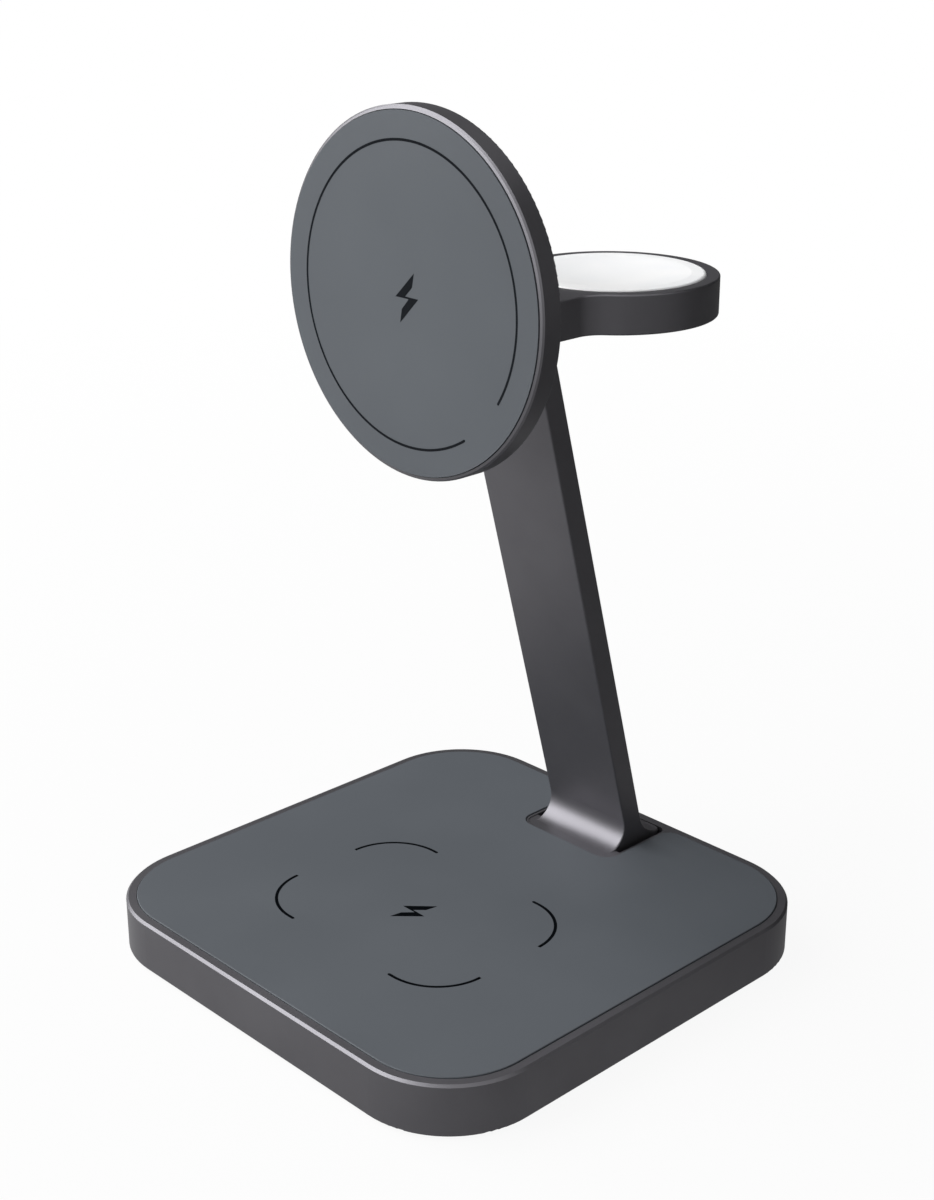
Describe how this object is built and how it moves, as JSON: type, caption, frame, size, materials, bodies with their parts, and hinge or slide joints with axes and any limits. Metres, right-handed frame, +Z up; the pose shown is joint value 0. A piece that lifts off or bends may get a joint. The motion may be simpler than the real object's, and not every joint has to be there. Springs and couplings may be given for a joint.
{
  "type": "three in one wireless charger",
  "caption": "Wireless charging stand: square base with an earbud pad, leaning flat stem, round tilting magnetic phone pad and an arm with a watch puck.",
  "frame": {"origin": "centre of the anti-slip mat's underside, on the surface the stand rests on", "axes": "+Z up, -Y the side the phone faces, +X to the right when looking along +Y"},
  "size_m": [0.09, 0.0986, 0.1426],
  "materials": {
    "frame_metal": "dark grey anodised, fine bead blasted",
    "panel_skin": "grey soft matte moulding",
    "black_plastic": "black fine spark texture",
    "silicone": "black matte silicone",
    "steel": "zinc plated steel",
    "spring_bronze": "phosphor bronze sheet",
    "coil_copper": "enamelled copper litz",
    "ferrite": "dark sintered ferrite",
    "magnet_nickel": "nickel plated magnets",
    "board_green": "solder mask on glass epoxy",
    "chip_black": "moulded chip package",
    "chip_ceramic": "ceramic capacitor body",
    "cable_film": "amber film over copper",
    "puck_white": "white satin moulding"
  },
  "bodies": {
    "stand": {"base_frame": "frame_metal", "base_top_panel": "panel_skin", "bottom_cover": "black_plastic", "anti_slip_mat": "silicone", "cover_screws": "steel", "counterweight": "steel", "earbud_coil": "coil_copper", "earbud_ferrite": "ferrite", "main_board": "board_green", "power_inductors": "ferrite", "control_chips": "chip_black", "ceramic_capacitors": "chip_ceramic", "inlet_shell": "steel", "inlet_contact_tongue": "chip_black", "cable_socket": "chip_black", "stem": "frame_metal", "channel_strip": "black_plastic", "stem_cable": "cable_film", "stem_foot_screws": "steel", "watch_arm": "frame_metal", "watch_cover": "black_plastic", "watch_cover_screws": "steel", "arm_screws": "steel", "watch_board": "board_green", "watch_ferrite": "ferrite", "watch_coil": "coil_copper", "watch_magnet": "magnet_nickel", "watch_puck": "puck_white", "friction_washers": "spring_bronze"},
    "phone_pad": {"pad_housing": "frame_metal", "pad_face": "panel_skin", "magnet_ring": "magnet_nickel", "pad_ferrite": "ferrite", "pad_coil": "coil_copper", "pad_bracket": "frame_metal", "bracket_screws": "steel", "hinge_pin": "steel", "hinge_nut": "steel"}
  },
  "joints": [
    {"name": "phone_tilt", "type": "hinge", "parent": "stand", "child": "phone_pad", "pos_m": [0, 0.0003, 0.1075], "axis": [-1, 0, 0], "range_deg": [-15, 45]}
  ]
}
